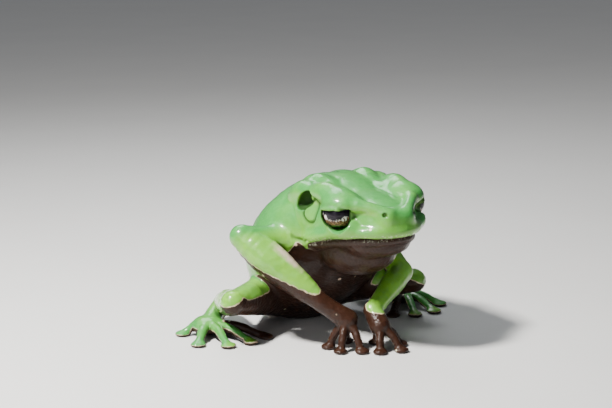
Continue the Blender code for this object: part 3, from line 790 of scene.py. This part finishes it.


# Painted shade: where the skin is painted darker, under other skin, in the groove around the ear
# drum, and toward the middle of an ear pit, in shares of its size, and of a nostril.
HOLLOW_HEIGHT, HOLLOW_SHADE = 1.4, 0.7
DRUM_SHADE, DRUM_SHADE_WIDTH = 0.95, 0.48
PIT_SINK, PIT_SHADE, NOSTRIL_SHADE = 1.8, (1.26, 1.06), (1.5, 0.9)


def shade(points, out):
    """Painted shade on the skin: in hollows, folds, behind the lids, in the ear pits and nostrils.
    """
    head = HEAD.local(points)
    room = np.clip(skin_distance(points + out * HOLLOW_HEIGHT) / HOLLOW_HEIGHT, 0, 1)
    shades = [ease_between(room, 0.65, 0.1) * HOLLOW_SHADE,
              DRUM_SHADE * bell(drum_shape(head), DRUM_SHADE_WIDTH)]
    shades += [groove_shade * share for share, _, groove_shade in fold_shares(head)]
    for name, side in SIDES.items():
        place = (points - EYES[name]) @ eye_axes(side)
        gap = length(place) - EYE_RADIUS
        shades.append(ease_between(gap, 1.3, 0.8) * ease_between(place[:, 0], 0.5, 1.5))
        pit = HEAD.at(EAR_PIT[0], side * (EAR_PIT[1] - PIT_SINK), EAR_PIT[2])
        shades.append(ease_between(length((points - pit) @ pit_axes() / EAR_PIT_RADII), *PIT_SHADE))
        shades.append(ease_between(length(points - nostril_place(side)), *NOSTRIL_SHADE))
    return np.max(shades, 0)


# The cool pale green is partly the green's own tone and partly a painted sky sheen on upward skin.
def mint_tone_and_sky_sheen(points, out):
    """Cool pale green: painted sky sheen on upward skin, less on arms, lip and the snout's front.
    """
    head = HEAD.local(points)
    off_trunk = ease_between(distance_near(points, Link(TRUNK, TRUNK_BLEND)), 0.5, 2.5)
    arm = ease_between(points[:, 2], 38, 18) * ease_between(points[:, 2], 5, 12) * off_trunk
    lip = ease_between(head[:, 2], -6.5, -11) * ease_between(head[:, 0], -30, -26)
    front = ease_between(head[:, 0], 9, 14) * ease_between(head[:, 2], 2, -4)
    # Painted sky sheen: skin that faces up gets more of the cool pale green.
    sky_sheen = ease_between(out[:, 2], -0.8, 0.5)
    return sky_sheen * (1 - 0.9 * arm) * (1 - 0.8 * lip) * (1 - 0.5 * front)


def lit_pink_strip(points, out):
    """The pale pink inner strip of the forearm, painted only where light falls, on the right one.
    """
    fore = arm_forms(LIMBS["r"]["arm"])[1]
    near = inside_box(points, fore.box, 1.0)
    gap, middle = fore.nearest(points[near])
    along = share_along(fore, middle)
    facing = out[near] @ GROUND.toward(0.35, -0.75, 0.55)
    strip = ease_between(facing - 0.35 * along, 0.35, 0.65) * ease_between(along, 0.25, 0.4)
    pink = np.zeros(len(points))
    pink[near] = strip * ease_between(along, 0.75, 0.5) * ease_between(gap, 1.0, 0.3)
    return pink


# ---- materials

class Nodes:
    """A material's node tree, with short calls for the nodes used here."""

    def __init__(self, name):
        self.material = bpy.data.materials.new(name)
        self.material.use_nodes = True
        self.tree = self.material.node_tree
        self.shader = self.tree.nodes["Principled BSDF"]

    def put(self, socket, value):
        """Link a socket to another node's output, or set it to a plain value."""
        if isinstance(value, bpy.types.NodeSocket):
            self.tree.links.new(value, socket)
        else:
            socket.default_value = value

    def node(self, kind, output=0, settings=(), **inputs):
        """A new node's output. Its inputs go by name, or by i and their number."""
        made = self.tree.nodes.new("ShaderNode" + kind)
        for key, value in dict(settings).items():
            setattr(made, key, value)
        for key, value in inputs.items():
            numbered = key[0] == "i" and key[1:].isdigit()
            self.put(made.inputs[int(key[1:]) if numbered else key], value)
        return made.outputs[output]

    def attribute(self, name, output="Fac"):
        return self.node("Attribute", output, {"attribute_name": name})

    def math(self, operation, a, b=0.0, clamp=False):
        return self.node("Math", 0, {"operation": operation, "use_clamp": clamp}, i0=a, i1=b)

    def times(self, a, b, clamp=False):
        return self.math("MULTIPLY", a, b, clamp)

    def plus(self, a, b, clamp=False):
        return self.math("ADD", a, b, clamp)

    def minus(self, a, b):
        return self.math("SUBTRACT", a, b)

    def rest(self, share):
        """What a share leaves of 1, and never less than 0."""
        return self.math("SUBTRACT", 1.0, share, True)

    def mix(self, share, a, b):
        return self.node("Mix", 2, {"data_type": "RGBA"}, i0=share, i6=a, i7=b)

    def ease(self, value, low, high, first=0.0, last=1.0):
        """The first value at low, the last one at high, and smooth between. High may be lower."""
        return self.node("MapRange", 0, {"interpolation_type": "SMOOTHSTEP"},
                         i0=value, i1=low, i2=high, i3=first, i4=last)

    def noise(self, place, scale, detail=2.0, rough=0.5):
        """Smooth noise from 0 to 1."""
        return self.node("TexNoise", 0, Vector=place, Scale=scale, Detail=detail, Roughness=rough)

    def cells(self, place, scale, output="Distance", **soft):
        """The distance from each cell's middle, or its own colour. Smoothness makes cells soft."""
        kind = {"feature": "SMOOTH_F1" if soft else "F1"}
        return self.node("TexVoronoi", output, kind, Vector=place, Scale=scale, **soft)

    def some_cells(self, place, scale, channel, low, high):
        """1 on the cells whose own colour is high in a channel, and 0 on the others."""
        own = self.node("SeparateColor", channel, Color=self.cells(place, scale, "Color"))
        return self.ease(own, low, high)

    def near(self, place, spot, core, reach):
        """1 closer to a spot than its core, and 0 beyond a reach."""
        gap = self.node("VectorMath", "Value", {"operation": "DISTANCE"}, i0=place, i1=spot)
        return self.ease(gap, reach, core)

    def bump(self, height, depth, **normal):
        """A bump of a depth in millimetres, over another normal if one is given as Normal."""
        return self.node("Bump", 0, Height=height, Distance=depth * MM, Strength=1.0, **normal)

    def dress(self, **inputs):
        """The material, with its shader's sockets set by their names, with _ for a space."""
        for key, value in inputs.items():
            self.put(self.shader.inputs[key.replace("_", " ")], value)
        return self.material


def colour(red, green, blue):
    return red, green, blue, 1.0


def per(size):
    """The scale of a texture whose lumps are about a size in millimetres across."""
    return 1 / (size * MM)


# MINT is the cool pale green, partly a painted sky sheen on upward skin; LEAF is the yellower
# green.
MINT, LEAF = colour(0.040, 0.245, 0.043), colour(0.175, 0.42, 0.035)
OLIVE, FLECK_GREEN = colour(0.085, 0.24, 0.006), colour(0.14, 0.41, 0.11)
DRUM_GREEN, SHADE_GREEN = colour(0.20, 0.44, 0.06), colour(0.009, 0.034, 0.001)
BROWN, MAUVE = colour(0.017, 0.007, 0.003), colour(0.038, 0.014, 0.008)
RING_BROWN, SHADE_BROWN = colour(0.02, 0.012, 0.008), colour(0.03, 0.015, 0.01)
# The pink is the underside's pale colour where light falls on it, partly painted light.
CREAM, LIT_PINK = colour(0.66, 0.50, 0.36), colour(0.60, 0.42, 0.38)
DRY_SKIN, DOT = colour(0.60, 0.60, 0.46), colour(0.75, 0.72, 0.5)

# The scales of the skin's marks.
JAG, FLECK, MINT_PATCH, OLIVE_PATCH = per(1.6), per(2.2), per(12.0), per(9.0)
MAUVE_PATCH, SPOT_CELL = per(6.0), per(5.2)
LIT_STRIP_PATCH, DRY_FLAKE, DOT_CELL = per(2.5), per(0.9), per(7.0)
GRAIN, PEBBLE, FINE_UNEVEN, BROAD_UNEVEN = per(0.75), per(1.1), per(0.35), per(3.0)
GLOSS_PATCH, WET_RIPPLE = per(1.2), per(1.1)


def green_skin(n, place, fleck):
    """The green of the back: leaf green or a cool mint, with olive patches and pale flecks."""
    # The mint share is partly a painted sky sheen on upward-facing skin.
    patch = n.minus(n.noise(place, MINT_PATCH, 3.0), 0.5)
    mint_and_sky_sheen = n.plus(n.attribute("mint_and_sky_sheen"), n.times(patch, 1.1), True)
    olive = n.ease(n.noise(place, OLIVE_PATCH, 3.0, 0.6), 0.5, 0.72)
    green = n.mix(n.times(n.times(olive, n.rest(mint_and_sky_sheen)), 0.5), n.mix(mint_and_sky_sheen, LEAF, MINT), OLIVE)
    green = n.mix(n.ease(fleck, 0.35, 0.75, 0.0, 0.25), green, FLECK_GREEN)
    return n.mix(n.times(n.attribute("drum"), 0.3), green, DRUM_GREEN)


def brown_skin(n, place, jag):
    """The brown of the underside, with pale spots in dark rings on some of its cells."""
    brown = n.mix(n.noise(place, MAUVE_PATCH, 4.0, 0.6), BROWN, MAUVE)
    middle = n.plus(n.cells(place, SPOT_CELL), n.times(jag, 0.16))
    spotted = n.some_cells(place, SPOT_CELL, 0, 0.66, 0.70)
    ring, spot = (n.times(spotted, n.ease(middle, *rim)) for rim in ((0.24, 0.16), (0.15, 0.10)))
    return n.mix(spot, n.mix(n.times(ring, 0.75), brown, RING_BROWN), CREAM)


def with_border(n, place, base, inside, fleck):
    """The skin with the broken cream line at the green's border, or dry flakes there on the lip."""
    beside, cream = n.math("ABSOLUTE", inside), n.attribute("cream")
    line = n.times(n.times(n.ease(beside, 0.26, 0.08), cream), n.ease(fleck, 0.35, 0.6, 0.35, 1.0))
    lip = n.times(n.ease(beside, 1.7, 0.5), n.rest(cream))
    dry = n.times(lip, n.ease(n.noise(place, DRY_FLAKE, 4.0, 0.7), 0.54, 0.61, 0.0, 0.75))
    return n.mix(dry, n.mix(line, base, CREAM), DRY_SKIN)


def skin_colour(n, place, inside, jag, painted_shade):
    fleck = n.noise(place, FLECK, 4.0, 0.65)
    brown, green = brown_skin(n, place, jag), green_skin(n, place, fleck)
    base = n.mix(n.ease(inside, -0.12, 0.12), brown, green)
    # The pale pink inner strip, painted only where light falls on the right forearm.
    uneven = n.ease(n.noise(place, LIT_STRIP_PATCH, 4.0, 0.65), 0.3, 0.55, 0.5, 0.95)
    base = n.mix(n.times(n.attribute("lit_pink_strip"), uneven), base, LIT_PINK)
    base = with_border(n, place, base, inside, fleck)
    dot = n.times(n.some_cells(place, DOT_CELL, 1, 0.72, 0.74),
                  n.ease(n.cells(place, DOT_CELL), 0.085, 0.06, 0.0, 0.85))
    base = n.mix(dot, base, DOT)
    # Painted shade: where its share is high, the skin is painted these dark shade colours.
    painted_shade_colour = n.mix(n.ease(inside, -0.3, 0.3), SHADE_BROWN, SHADE_GREEN)
    return n.mix(n.times(painted_shade, 0.95, True), base, painted_shade_colour)


def skin_normal(n, place, inside):
    """The finest relief: grain on the green, pebbles on the brown, and unevenness on both."""
    grain, pebbles = n.cells(place, GRAIN, Smoothness=0.6), n.cells(place, PEBBLE, Smoothness=0.4)
    height = n.node("Mix", 0, {"data_type": "FLOAT"},
                    i0=n.ease(inside, -0.6, 0.2), i2=n.times(pebbles, -4.0), i3=grain)
    normal = n.bump(height, 0.045)
    normal = n.bump(n.noise(place, FINE_UNEVEN, 3.0, 0.6), 0.03, Normal=normal)
    return n.bump(n.noise(place, BROAD_UNEVEN, 3.0, 0.5), 0.12, Normal=normal)


def skin_material():
    """The skin: wet over the green, duller over the brown, and matt and darkened where shade is
    painted.
    """
    n = Nodes("skin")
    place, painted_shade = n.node("TexCoord", "Object"), n.attribute("painted_shade")
    jag = n.minus(n.noise(place, JAG, 3.0, 0.6), 0.5)
    inside = n.plus(n.attribute("inside"), n.times(jag, 0.7))
    rough = n.ease(n.noise(place, GLOSS_PATCH, 3.0), 0.2, 0.8, 0.28, 0.46)
    coat = n.times(n.ease(inside, -0.3, 0.3, 0.1, 0.9), n.rest(n.times(painted_shade, 0.9)))
    return n.dress(Base_Color=skin_colour(n, place, inside, jag, painted_shade),
                   Normal=skin_normal(n, place, inside), Specular_IOR_Level=0.22,
                   Roughness=n.plus(rough, n.times(painted_shade, 0.45), True),
                   Coat_Weight=coat, Coat_Roughness=0.09, Coat_IOR=1.42,
                   Coat_Normal=n.bump(n.noise(place, WET_RIPPLE, 2.0), 0.05))


# The eye's markings lie on a ball of radius 1, along its own directions: out, toward the snout,
# and up. The silver line, partly a pale band and partly a painted highlight, has a height at the
# middle, an arch and a wave, and a painted glint at each end.
IRIS_DARK, IRIS = colour(0.003, 0.002, 0.004), colour(0.022, 0.016, 0.028)
MOTTLE_DARK, MOTTLE_RED = colour(0.010, 0.005, 0.003), colour(0.15, 0.065, 0.035)
MOTTLE_GOLD, UNDER_LID_SHADE = colour(0.50, 0.36, 0.10), colour(0.012, 0.045, 0.004)
SILVER_AND_GLINT = colour(0.80, 0.77, 0.72)
SILVER_HEIGHT, SILVER_ARCH, SILVER_WAVE = -0.36, 0.45, 0.42
FRONT_GLINT, REAR_GLINT = (0.75, 0.62, -0.24), (0.80, -0.56, -0.20)


def eye_material():
    """A near-black iris over a mottled lower one, a wavy silver line between them, partly painted
    highlight.
    """
    n = Nodes("eye")
    place = n.attribute("eye_place", "Vector")
    across, up = (n.node("SeparateXYZ", i, Vector=place) for i in (1, 2))
    wave, fleck = n.noise(place, 6.0, 3.0, 0.7), n.noise(place, 16.0, 4.0, 0.7)
    arch = n.times(n.times(across, across), SILVER_ARCH)
    height = n.minus(n.minus(up, arch), SILVER_HEIGHT)
    height = n.plus(height, n.times(n.minus(wave, 0.5), SILVER_WAVE))
    streaks = n.noise(n.node("Mapping", 0, Vector=place, Scale=(4, 4, 26)), 1.0, 3.0)
    iris = n.mix(n.ease(streaks, 0.4, 0.75), IRIS_DARK, IRIS)
    mottle = n.mix(n.ease(fleck, 0.42, 0.52), MOTTLE_DARK, MOTTLE_RED)
    mottle = n.mix(n.ease(fleck, 0.57, 0.64), mottle, MOTTLE_GOLD)
    # Painted shade: the bottom of the ball, under the lower lid, is painted a dark shaded green.
    lower = n.mix(n.ease(up, -0.72, -0.60), UNDER_LID_SHADE, mottle)
    line = n.times(n.ease(n.math("ABSOLUTE", height), 0.040, 0.015), n.ease(fleck, 0.46, 0.54))
    # Painted glints at the front and rear corners of the eye.
    ends = n.math("MAXIMUM", n.near(place, FRONT_GLINT, 0.12, 0.20),
                  n.near(place, REAR_GLINT, 0.10, 0.20))
    silver_and_glints = n.math("MAXIMUM", line, n.times(ends, n.ease(wave, 0.40, 0.5)))
    base = n.mix(n.ease(height, -0.03, 0.03), lower, iris)
    base = n.mix(n.times(silver_and_glints, n.attribute("silver_lit_share")), base, SILVER_AND_GLINT)
    return n.dress(Base_Color=base, Roughness=0.3, Specular_IOR_Level=0.1,
                   Coat_Weight=0.4, Coat_IOR=1.4, Coat_Roughness=0.03)


def floor_material():
    n = Nodes("floor")
    patch = n.noise(n.node("TexCoord", "Object"), per(60.0), 3.0)
    tone = n.mix(patch, colour(0.60, 0.60, 0.60), colour(0.64, 0.64, 0.635))
    return n.dress(Base_Color=tone, Roughness=0.7)


# ---- pieces

def store(mesh, name, values):
    """Keep one value for each vertex under a name, for the material to read."""
    numbers = np.asarray(values, np.float32)
    mesh.attributes.new(name, "FLOAT", "POINT").data.foreach_set("value", numbers)


def in_scene(name, data):
    """A new object in the scene that shows a mesh, light or camera."""
    item = bpy.data.objects.new(name, data)
    bpy.context.scene.collection.objects.link(item)
    return item


def mesh_object(name, points, faces, material):
    """A smooth mesh from points in millimetres."""
    mesh = bpy.data.meshes.new(name)
    mesh.from_pydata((points * MM).tolist(), [], faces)
    mesh.shade_smooth()
    mesh.materials.append(material)
    return in_scene(name, mesh)


def make_skin():
    """The one skin over all the flesh. Its markings and relief are found from its forms."""
    field, low, step = sample()
    fill_hollows(field)
    join_diagonals(field)
    points, quads = surface(field, low, step)
    points, out = settle(points)
    inside, cream = markings(points, out)
    # One of these looks is the share of shade painted on the skin.
    looks = {"inside": inside, "cream": cream, "painted_shade": shade(points, out),
             "mint_and_sky_sheen": mint_tone_and_sky_sheen(points, out), "lit_pink_strip": lit_pink_strip(points, out),
             "drum": ease_between(drum_shape(HEAD.local(points)), 0, -1)}
    points = points + relief(points)[:, None] * out
    points[:, 2] = np.maximum(points[:, 2], 0.0)
    item = mesh_object("skin", points, quads.tolist(), skin_material())
    for key, values in looks.items():
        store(item.data, key, values)
    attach(item, "root")
    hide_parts(*[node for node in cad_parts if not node.startswith("eye")])


# How fine an eyeball is around and from end to end, and how bright the silver is in each; the
# left eye's silver is dimmed as painted shade.
COLUMNS, ROWS = 96, 48
SILVER_LIT_SHARE = {"r": 1.0, "l": 0.4}


def ball_mesh():
    """The places of a ball of radius 1, row by row from its top, and its faces."""
    turns = np.linspace(0, 2 * np.pi, COLUMNS + 1)[:-1]
    ring = np.column_stack([np.cos(turns), np.sin(turns), np.ones(COLUMNS)])
    tips = np.linspace(0, np.pi, ROWS + 1)[1:-1]
    rows = [ring * (math.sin(tip), math.sin(tip), math.cos(tip)) for tip in tips]
    ball = np.vstack([vec(0, 0, 1)[None], *rows, vec(0, 0, -1)[None]])
    last = len(ball) - 1
    sides = [(a, (a + 1) % COLUMNS) for a in range(COLUMNS)]
    faces = [[0, 1 + a, 1 + b] for a, b in sides]
    for row in range(1, last - COLUMNS, COLUMNS):
        below = row + COLUMNS
        faces += [[row + a, below + a, below + b, row + b] for a, b in sides]
    below = last - COLUMNS
    return ball, faces + [[last, below + b, below + a] for a, b in sides]


def make_eye(name, side, material):
    """An eyeball finer than the solid's, for its gloss. Its markings follow the way it looks."""
    ball, faces = ball_mesh()
    local = (ball @ eye_axes(side)).astype(np.float32)
    turned = np.arccos(np.clip(local[:, :1], -1, 1))
    reach = EYE_RADIUS + CORNEA_RISE * bell(turned, CORNEA_SPREAD)
    item = mesh_object("eyeball_" + name, EYES[name] + ball * reach, faces, material)
    kept = item.data.attributes.new("eye_place", "FLOAT_VECTOR", "POINT")
    kept.data.foreach_set("vector", local.ravel())
    store(item.data, "silver_lit_share", np.full(len(ball), SILVER_LIT_SHARE[name]))
    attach(item, "root")
    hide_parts("eye_" + name)


# ---- stage, light and camera

FLOOR_REACH = 5000


def make_floor():
    corners = FLOOR_REACH * np.array([(-1, -1, 0), (1, -1, 0), (1, 1, 0), (-1, 1, 0)])
    item = mesh_object("floor", corners, [(0, 1, 2, 3)], floor_material())


# Each square light: its place from the head, its size, its power and its tint.
LIGHTS = {
    "key": ((-230, -130, 350), 55, 7.4, (1.0, 0.97, 0.92)),
    "rear": ((-120, 330, 330), 200, 0.7, (0.93, 0.97, 1.0)),
    "fill": ((-300, -520, 240), 300, 0.8, (1, 1, 1)),
}
SKY_POWER, SKY_SPREAD, SKY_TURN = 0.45, 60, (-20, -15, 0)
WORLD_TINT, WORLD_POWER = (0.82, 0.86, 0.92), 0.13


def soft_light(name, place, size, power, tint):
    """A square light that shines from its place toward the head."""
    light = bpy.data.lights.new(name, "AREA")
    light.size, light.energy, light.color = size * MM, power, tint
    item = in_scene(name, light)
    item.location = Vector((HEAD.origin + vec(*place)) * MM)
    item.rotation_euler = Vector(-vec(*place)).to_track_quat("-Z", "Y").to_euler()


def make_light():
    for name, light in LIGHTS.items():
        soft_light(name, *light)
    sun = bpy.data.lights.new("sky", "SUN")
    sun.energy, sun.angle = SKY_POWER, math.radians(SKY_SPREAD)
    in_scene("sky", sun).rotation_euler = [math.radians(turn) for turn in SKY_TURN]
    world = bpy.data.worlds.new("studio")
    world.use_nodes = True
    background = world.node_tree.nodes["Background"]
    background.inputs["Color"].default_value = colour(*WORLD_TINT)
    background.inputs["Strength"].default_value = WORLD_POWER
    bpy.context.scene.world = world


# The camera looks down on the head from as far away as gives it its size in the picture, and turns
# aside to put it in its place there.
IMAGE_WIDTH, IMAGE_HEIGHT = 612, 408
CAMERA_LENS, CAMERA_SENSOR = 100.0, 36.0
CAMERA_RISE = 12.0
PIXELS_PER_MM = 2.85
HEAD_IN_VIEW = (378, 210)


def make_camera():
    camera = bpy.data.cameras.new("camera")
    camera.lens, camera.sensor_width, camera.clip_start = CAMERA_LENS, CAMERA_SENSOR, 0.01
    tip = math.radians(CAMERA_RISE)
    back = vec(0, -math.cos(tip), math.sin(tip))
    away = IMAGE_WIDTH / PIXELS_PER_MM * CAMERA_LENS / CAMERA_SENSOR
    item = in_scene("camera", camera)
    item.location = Vector((HEAD.origin + back * away) * MM)
    reach = IMAGE_WIDTH * CAMERA_LENS / CAMERA_SENSOR
    turn = math.atan((HEAD_IN_VIEW[0] - IMAGE_WIDTH / 2) / reach)
    rise = math.atan((HEAD_IN_VIEW[1] - IMAGE_HEIGHT / 2) / reach)
    aimed = Vector(-back).to_track_quat("-Z", "Y") @ Euler((rise, turn, 0)).to_quaternion()
    item.rotation_euler = aimed.to_euler()
    bpy.context.scene.camera = item


make_skin()
eye_look = eye_material()
for eye_name, eye_side in SIDES.items():
    make_eye(eye_name, eye_side, eye_look)
make_floor()
make_light()
make_camera()
